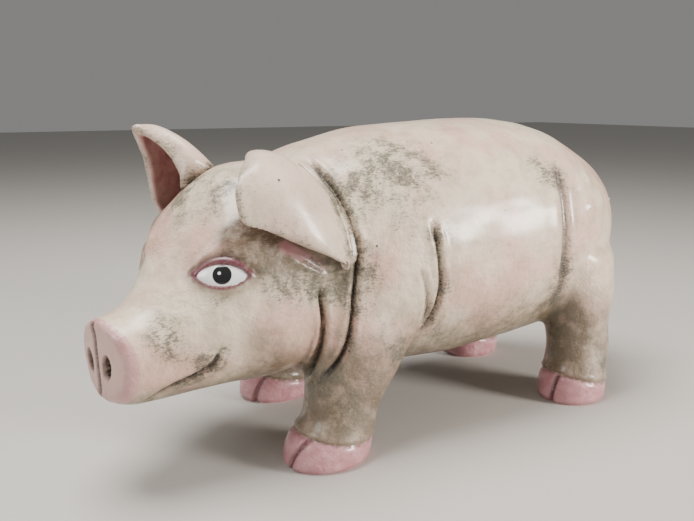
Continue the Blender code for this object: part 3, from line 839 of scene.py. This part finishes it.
CREAM = (0.78, 0.68, 0.52)
PALE_PINK = (0.74, 0.46, 0.37)
TAN = (0.46, 0.34, 0.24)
# Olive colours rubbed over the paint where there is grime and where shade is painted
OLIVE_WASH_AND_SHADE = (0.22, 0.19, 0.12)
OLIVE_GREY = (0.075, 0.068, 0.045)
SHADE_UMBER = (0.085, 0.047, 0.024)
LINE_BLACK = (0.012, 0.010, 0.009)
HOOF_PINK = (0.47, 0.20, 0.225)
HOOF_PALE = (0.58, 0.30, 0.325)
LID_PLUM = (0.12, 0.018, 0.038)
RAW_CLAY = (0.50, 0.38, 0.28)
EAR_PINK = (0.78, 0.56, 0.48)
LINING_DEEP = (0.48, 0.23, 0.235)
LINING_PALE = (0.66, 0.40, 0.39)
EYE_WHITE = (0.86, 0.86, 0.86)
EYE_WORN = (0.72, 0.70, 0.68)
IRIS_BLACK = (0.012, 0.012, 0.013)
GLINT_WHITE = (0.8, 0.8, 0.8)
RUBBER_DARK = (0.018, 0.018, 0.019)
RUBBER_WORN = (0.04, 0.04, 0.042)
FLOOR_PALE = (0.50, 0.48, 0.45)


def caught(s, amount, texture, reach):
    """Paint caught on the high parts of a texture: the more paint, the further down it reaches."""
    low = s.math("SUBTRACT", 0.68, s.math("MULTIPLY", amount, reach))
    high = s.math("SUBTRACT", 0.80, s.math("MULTIPLY", amount, reach * 0.8))
    return s.ramp(texture, low, high)


def aged(s, colour, grime_and_shade, layers):
    """An olive wash, specks and fine hairs of dark paint rubbed over a colour, where there is grime and
    where shade is painted.
    """
    cloud, mottle, fine, hair = layers
    patchy = s.math("MULTIPLY", grime_and_shade, s.ramp(mottle, 0.28, 0.70, 0.45, 1.25), clamp=True)
    faint = s.math("ADD", patchy, s.ramp(cloud, 0.50, 0.72, 0.0, 0.20), clamp=True)
    colour = s.mix(s.math("MULTIPLY", faint, 0.50), colour, OLIVE_WASH_AND_SHADE)
    colour = s.mix(s.math("MULTIPLY", caught(s, faint, fine, 0.25), 0.70), colour, OLIVE_GREY)
    return s.mix(s.math("MULTIPLY", caught(s, faint, hair, 0.31), 0.72), colour, OLIVE_GREY)


def textures(s):
    """Broad clouds, mottling, fine specks and brush hairs."""
    cloud = s.noise(46.0, 3.0)
    mottle = s.noise(11.0, 5.0, roughness=0.6)
    fine = s.noise(2.0, 5.0, roughness=0.72)
    hair = s.noise(1.5, 4.0, stretch=(1.0, 2.8, 0.8), turn=(0.5, 0.0, 0.3), roughness=0.68, distortion=0.8)
    return cloud, mottle, fine, hair


def painted_clay(name):
    """Cream and pale pink paint, grey dry brushing, painted shade in umber and olive, dark lines and pink
    parts, under satin varnish.
    """
    s = Shader(name)
    cloud, mottle, fine, hair = layers = textures(s)
    blush = s.math("MULTIPLY", s.mask("blush"), 0.9)
    warm = s.math("ADD", s.ramp(cloud, 0.42, 0.60, 0.05, 0.65), blush, clamp=True)
    colour = s.mix(warm, CREAM, PALE_PINK)
    colour = s.mix(s.ramp(mottle, 0.40, 0.70, 0.0, 0.40), colour, TAN)
    # Painted shade: umber and tan laid where the shade mask lies, broken up by the mottling
    patchy = s.ramp(mottle, 0.25, 0.6, 0.70, 1.05)
    painted_shade = s.math("MULTIPLY", s.mask("painted_shade"), patchy, clamp=True)
    shade_tint = s.mix(s.math("MULTIPLY", caught(s, painted_shade, hair, 0.20), 0.30), SHADE_UMBER, TAN)
    colour = s.mix(s.math("MULTIPLY", painted_shade, 0.94), colour, shade_tint)
    hoof = s.mix(s.ramp(mottle, 0.35, 0.68), HOOF_PINK, HOOF_PALE)
    colour = s.mix(s.mask("pink"), colour, hoof)
    rim = s.math("MULTIPLY", s.mask("rim"), s.ramp(fine, 0.3, 0.6, 0.7, 1.0))
    colour = s.mix(rim, colour, LID_PLUM)
    grime_and_shade = s.mask("grime_and_shade")
    colour = aged(s, colour, grime_and_shade, layers)
    dark = s.math("MULTIPLY", s.mask("dark"), s.ramp(hair, 0.30, 0.58, 0.45, 1.0))
    colour = s.mix(dark, colour, LINE_BLACK)
    colour = s.mix(s.flecks(34.0, 0.040, 0.028), colour, LINE_BLACK)
    inside = s.mask("inside")
    colour = s.mix(inside, colour, RAW_CLAY)
    rough = s.math("ADD", s.ramp(mottle, 0.3, 0.7, 0.34, 0.46), s.math("MULTIPLY", grime_and_shade, 0.15))
    rough = s.math("ADD", rough, s.math("MULTIPLY", inside, 0.5), clamp=True)
    s.set(Base_Color=colour, Roughness=rough, Coat_Weight=0.6, Coat_Roughness=0.20)
    s.bump((hair, 0.32), (fine, 0.16), (mottle, 2.40))
    return s.material


def painted_ear(name):
    """The outside like the body, the inside dusty pink with painted shade darkening it toward the root."""
    s = Shader(name)
    cloud, mottle, fine, hair = layers = textures(s)
    outside = s.mix(s.ramp(cloud, 0.35, 0.60, 0.35, 0.85), CREAM, EAR_PINK)
    outside = s.mix(s.ramp(mottle, 0.42, 0.72, 0.0, 0.25), outside, TAN)
    lining = s.mix(s.ramp(mottle, 0.34, 0.66), LINING_DEEP, LINING_PALE)
    colour = s.mix(s.mask("lining"), outside, lining)
    # Painted shade in umber, deep in the ear and where it meets the head
    colour = s.mix(s.math("MULTIPLY", s.mask("painted_shade"), 0.85, clamp=True), colour, SHADE_UMBER)
    colour = aged(s, colour, s.mask("grime_and_shade"), layers)
    colour = s.mix(s.flecks(52.0, 0.060, 0.045), colour, LINE_BLACK)
    rough = s.ramp(mottle, 0.3, 0.7, 0.34, 0.46)
    s.set(Base_Color=colour, Roughness=rough, Coat_Weight=0.45, Coat_Roughness=0.20)
    s.bump((hair, 0.28), (fine, 0.14), (mottle, 1.30))
    return s.material


def painted_eye(name):
    """White with a round black iris and a small painted highlight, under gloss varnish."""
    s = Shader(name)
    split = s.node("ShaderNodeSeparateXYZ", {"Vector": s.coords})
    x, y = split.outputs[0], split.outputs[1]

    def disc(cx, cy, radius, soft):
        dx = s.math("SUBTRACT", x, cx * MM)
        dy = s.math("SUBTRACT", y, cy * MM)
        squared = s.math("ADD", s.math("MULTIPLY", dx, dx), s.math("MULTIPLY", dy, dy))
        distance = s.math("SQRT", squared)
        return s.ramp(distance, (radius + soft) * MM, (radius - soft) * MM)

    mottle = s.noise(4.0, 3.0)
    colour = s.mix(s.ramp(mottle, 0.35, 0.7, 0.0, 0.35), EYE_WHITE, EYE_WORN)
    colour = s.mix(disc(0.0, IRIS_UP, IRIS_R, 0.25), colour, IRIS_BLACK)
    # A painted highlight on the iris
    colour = s.mix(disc(GLINT_ALONG, GLINT_UP, GLINT_R, 0.2), colour, GLINT_WHITE)
    s.set(Base_Color=colour, Roughness=0.12, Coat_Weight=0.6, Coat_Roughness=0.05)
    s.bump((mottle, 0.05))
    return s.material


def rubber(name):
    """Black moulded rubber, a little worn."""
    s = Shader(name)
    mottle = s.noise(6.0, 4.0)
    grain = s.noise(0.5, 2.0)
    colour = s.mix(s.ramp(mottle, 0.35, 0.7), RUBBER_DARK, RUBBER_WORN)
    s.set(Base_Color=colour, Roughness=s.ramp(mottle, 0.3, 0.7, 0.48, 0.68))
    s.bump((grain, 0.05), (mottle, 0.15))
    return s.material


def shown(name, mesh, material, node):
    """Adds a finished piece that rides on the bank and stands for a CAD node."""
    mesh.name = name
    mesh.materials.clear()
    mesh.materials.append(material)
    mesh.shade_smooth()
    mesh.set_sharp_from_angle(angle=SHARP_FROM)
    piece = bpy.data.objects.new(name, mesh)
    bpy.context.scene.collection.objects.link(piece)
    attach(piece, "bank")
    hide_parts(node)
    return piece


# ---- the two shells

limbs = [
    leg_mesh(FRONT_LEG, 1.0, FOOT_LEAD), leg_mesh(FRONT_LEG, -1.0, -FOOT_LEAD),
    leg_mesh(REAR_LEG, 1.0, 0.0), leg_mesh(REAR_LEG, -1.0, 0.0),
]
rough = joined([trunk_mesh(), *limbs])
form = modified(
    put("rough", rough),
    ("REMESH", {"mode": "VOXEL", "voxel_size": VOXEL * MM}),
    ("SMOOTH", {"factor": 0.5, "iterations": 7}),
)
SKIN = tree_of(form)
hollow = modified(
    put("hollow", form.copy()),
    ("DISPLACE", {"strength": -WALL * MM, "mid_level": 0.0}),
    ("REMESH", {"mode": "VOXEL", "voxel_size": CAVITY_VOXEL * MM}),
    ("SMOOTH", {"factor": 0.5, "iterations": 2}),
    ("DECIMATE", {"ratio": 0.35}),
)
belly_x, belly_y, _ = place(BUNG_T, 0.0, 0.0)
below_soles = block((0.0, 0.0, SOLE - 100.0), (800.0, 1200.0, 200.0))
pad = cylinder(belly_x, belly_y, BUNG_PAD_R, BUNG_PAD_LOW, BUNG_PAD_TOP, 64)
eye_pads = [
    primitive(bmesh.ops.create_icosphere, eye_frame(sign), subdivisions=4, radius=EYE_PAD_R * MM)
    for sign in (1.0, -1.0)
]
cavity = cut(hollow, "DIFFERENCE", below_soles, pad, *eye_pads)

skin = modified(put("skin", form), ("SUBSURF", {"levels": 1, "render_levels": 1}))
skin = sculpt(finer(skin, FACE_FROM))
SHALLOW = tree_of(skin)

slot_block = block(place(SLOT_T, 0.0, SLOT_Z), (SLOT_WIDTH, SLOT_LENGTH, SLOT_DEEP))
bung_hole = cylinder(belly_x, belly_y, BUNG_HOLE_R, BUNG_HOLE_LOW, BUNG_HOLE_TOP, 96)
bung_seat = cylinder(belly_x, belly_y, BUNG_SEAT_R, BUNG_SEAT_LOW, BUNG_SEAT_TOP, 96)
shell = cut(skin, "DIFFERENCE", cavity, slot_block, bung_hole, bung_seat)

# Beyond the body: behind the rump, in front of the snout, beside each of those, and above
BEHIND, AHEAD, BESIDE_SNOUT, BESIDE_RUMP, ABOVE = -430.0, 260.0, 300.0, 400.0, 330.0


def side_prism(side):
    """Everything above the table on one side of the parting surface, which follows the spine in plan."""
    stations = np.array((BEHIND, *np.linspace(TURN_FROM, TURN_TO, 12), AHEAD))
    plan = np.concatenate((
        place(stations, 0.0, 0.0),
        place(AHEAD, side * BESIDE_SNOUT, 0.0)[None],
        place(BEHIND, side * BESIDE_RUMP, 0.0)[None],
    ))
    return loft([plan + np.array((0, 0, z)) for z in (0.0, ABOVE)])


clay = painted_clay("painted_clay")
for name, sign in (("left", 1.0), ("right", -1.0)):
    half = cut(shell.copy(), "INTERSECT", side_prism(sign))
    paint_shell(half)
    shown(f"{name}_shell", half, clay, f"{name}_half_shell")


# ---- ears

def ear_sheet(ribs, bow, side):
    """The outer surface of an ear's leaf, and the points along its free edge."""
    rows = spline([root + edge for root, edge in ribs], EAR_ROWS)
    heart = place(EAR_HEART[0], side * EAR_HEART[1], EAR_HEART[2])
    bm = bmesh.new()
    grid, margin = [], []
    for i, row in enumerate(rows):
        root, edge = place(row[0], side * row[1], row[2]), place(row[3], side * row[4], row[5])
        margin.append(edge)
        bowed = np.interp(i / (len(rows) - 1), EAR_BOW_AT, bow)
        out = (root + edge) / 2.0 - heart
        out /= np.linalg.norm(out)
        line = []
        for k in range(EAR_ACROSS + 1):
            u = -EAR_ROOT + (1.0 + EAR_ROOT) * k / EAR_ACROSS
            swell = bowed * math.sin(math.pi * max(0.0, u))
            line.append(bm.verts.new((root + (edge - root) * u + out * swell) * MM))
        grid.append(line)
    for near, far in zip(grid, grid[1:]):
        for k in range(EAR_ACROSS):
            bm.faces.new((near[k], near[k + 1], far[k + 1], far[k]))
    bmesh.ops.recalc_face_normals(bm, faces=bm.faces)
    middle = Vector(heart) * MM
    if sum(face.normal.dot(face.calc_center_median() - middle) for face in bm.faces) < 0.0:
        bmesh.ops.reverse_faces(bm, faces=bm.faces)
    return mesh_from(bm), margin


def ear_piece(name, ribs, bow, side, material):
    """An ear: the leaf given its thickness and a rolled rim, then painted."""
    sheet, margin = ear_sheet(ribs, bow, side)
    outside = tree_of(sheet)
    leaf = modified(
        put(name, sheet),
        ("SOLIDIFY", {"thickness": EAR_THICK * MM, "offset": -1.0}),
        ("REMESH", {"mode": "VOXEL", "voxel_size": EAR_VOXEL * MM}),
        ("SMOOTH", {"factor": 0.5, "iterations": 8}),
    )
    points = points_of(leaf)
    from_edge, _ = path_distance(points, margin)
    points = points + normals_of(leaf) * (EAR_RIM * bell(from_edge, 5.0))[:, None]
    set_points(leaf, points)

    sunk = np.zeros(len(points))
    for k, point in enumerate(points):
        at = Vector(point) * MM
        hit, normal, _, _ = outside.find_nearest(at)
        sunk[k] = (hit - at).dot(normal) / MM
    from_root = skin_distance(points)
    from_edge, _ = path_distance(points, margin)
    inner = smooth((sunk - 2.6) / 1.2) * smooth((from_edge - 2.5) / 2.0)
    outer = 1.0 - smooth((sunk - 2.0) / 1.5)
    lay_paints(leaf, {
        "lining": inner,
        # Painted shade deep in the ear and on the outside next to the head; grime along the free edge
        "painted_shade": 0.5 * inner * smooth(1.0 - from_root / 20.0) + 0.5 * outer * smooth(1.0 - from_root / 5.0),
        "grime_and_shade": outer * (0.20 + 0.75 * smooth(1.0 - from_root / 10.0)) + 0.42 * bell(from_edge, 8.0),
    })
    shown(f"{name}_leaf", leaf, material, name)


ear_paint = painted_ear("painted_ear")
ear_piece("left_ear", LEFT_EAR, LEFT_EAR_BOW, 1.0, ear_paint)
ear_piece("right_ear", RIGHT_EAR, RIGHT_EAR_BOW, -1.0, ear_paint)

# ---- eyes

eye_paint = painted_eye("painted_eye")
for name, sign in (("left_eye", 1.0), ("right_eye", -1.0)):
    lens = primitive(
        bmesh.ops.create_uvsphere,
        Matrix.Translation((0, 0, -EYEBALL_SUNK * MM)) @ Matrix.Diagonal((*(Vector(EYEBALL) * MM), 1.0)),
        u_segments=64, v_segments=32, radius=1.0,
    )
    piece = shown(f"{name}_lens", lens, eye_paint, name)
    piece.matrix_world = eye_frame(sign)

# ---- tail

def tail_mesh():
    """A tapering roll of clay wound into a small curl."""
    path = [place(TAIL_T + TAIL_IN, 0.0, TAIL_Z)]
    radii = [TAIL_ROOT_R]
    for k in range(TAIL_STEPS + 1):
        turn = TAIL_TURNS * k / TAIL_STEPS
        angle = 2.0 * math.pi * turn
        side, up = TAIL_LOOP * math.sin(angle), TAIL_LOOP * (1.0 - math.cos(angle))
        path.append(place(TAIL_T - TAIL_PITCH * turn, side, TAIL_Z + up))
        radii.append(TAIL_THICK_R - TAIL_TAPER * k / TAIL_STEPS)
    curve = bpy.data.curves.new("tail", "CURVE")
    curve.dimensions = "3D"
    curve.bevel_depth = MM
    curve.bevel_resolution = 7
    curve.use_fill_caps = True
    line = curve.splines.new("POLY")
    line.points.add(len(path) - 1)
    for point, at, radius in zip(line.points, path, radii):
        point.co = (*(at * MM), 1.0)
        point.radius = radius
    return modified(
        put("tail", modified(put("tail_curve", curve))),
        ("WELD", {"merge_threshold": 0.01 * MM}),
        ("REMESH", {"mode": "VOXEL", "voxel_size": TAIL_VOXEL * MM}),
        ("SMOOTH", {"factor": 0.5, "iterations": 10}),
    )


tail = tail_mesh()
from_root = skin_distance(points_of(tail))
lay_paints(tail, {
    "lining": np.full_like(from_root, 0.15),
    # Painted shade where the tail leaves the rump, with some grime over the whole tail
    "painted_shade": 0.5 * smooth(1.0 - from_root / 7.0),
    "grime_and_shade": 0.25 + 0.5 * smooth(1.0 - from_root / 9.0),
})
shown("tail_curl", tail, painted_ear("painted_tail"), "tail")

# ---- stopper

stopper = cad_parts["belly_stopper"]
stopper.data.materials.clear()
stopper.data.materials.append(rubber("moulded_rubber"))

# ---- studio

FLOOR_HALF = 6.0
SKY_COLOUR, SKY_STRENGTH = (0.96, 0.95, 0.93, 1.0), 0.24
# The lights: name, place, aim, size in metres, watts and colour
LIGHTS = (
    ("key", (1.15, 0.88, 0.46), (0.0, 0.0, 0.14), 0.45, 33.0, (1.0, 0.95, 0.88)),
    ("top", (-0.10, -0.30, 1.45), (0.0, -0.05, 0.12), 0.9, 34.0, (1.0, 0.97, 0.93)),
    ("fill", (0.25, -1.5, 0.95), (0.0, -0.15, 0.12), 0.8, 12.0, (1.0, 0.98, 0.95)),
)
CAMERA_AT = (0.498, -0.3244, 0.2507)
CAMERA_FROM_SIDE, CAMERA_DOWN = math.radians(60.0), math.radians(12.2)
CAMERA_SENSOR, CAMERA_LENS = 36.0, 38.49

bpy.data.collections.remove(WORK)
plane = primitive(bmesh.ops.create_grid, Matrix.Identity(4), x_segments=2, y_segments=2, size=FLOOR_HALF)
floor = bpy.data.objects.new("floor", plane)
bpy.context.scene.collection.objects.link(floor)
floor_shader = Shader("pale_floor")
floor_shader.set(Base_Color=FLOOR_PALE, Roughness=0.8)
floor.data.materials.append(floor_shader.material)

world = bpy.data.worlds.new("studio")
bpy.context.scene.world = world
world.use_nodes = True
sky = world.node_tree.nodes["Background"]
sky.inputs["Color"].default_value = SKY_COLOUR
sky.inputs["Strength"].default_value = SKY_STRENGTH

for name, at, aim, size, power, colour in LIGHTS:
    light = bpy.data.lights.new(name, "AREA")
    light.shape = "DISK"
    light.size = size
    light.energy = power
    light.color = colour
    lamp = bpy.data.objects.new(name, light)
    bpy.context.scene.collection.objects.link(lamp)
    lamp.location = at
    lamp.rotation_mode = "QUATERNION"
    lamp.rotation_quaternion = (Vector(aim) - Vector(at)).to_track_quat("-Z", "Y")

level = math.cos(CAMERA_DOWN)
look = Vector((
    -math.sin(CAMERA_FROM_SIDE) * level, math.cos(CAMERA_FROM_SIDE) * level, -math.sin(CAMERA_DOWN),
))
camera_data = bpy.data.cameras.new("camera")
camera_data.sensor_width = CAMERA_SENSOR
camera_data.lens = CAMERA_LENS
camera_data.clip_start = 0.01
camera = bpy.data.objects.new("camera", camera_data)
bpy.context.scene.collection.objects.link(camera)
camera.location = CAMERA_AT
camera.rotation_mode = "QUATERNION"
camera.rotation_quaternion = look.to_track_quat("-Z", "Y")
bpy.context.scene.camera = camera
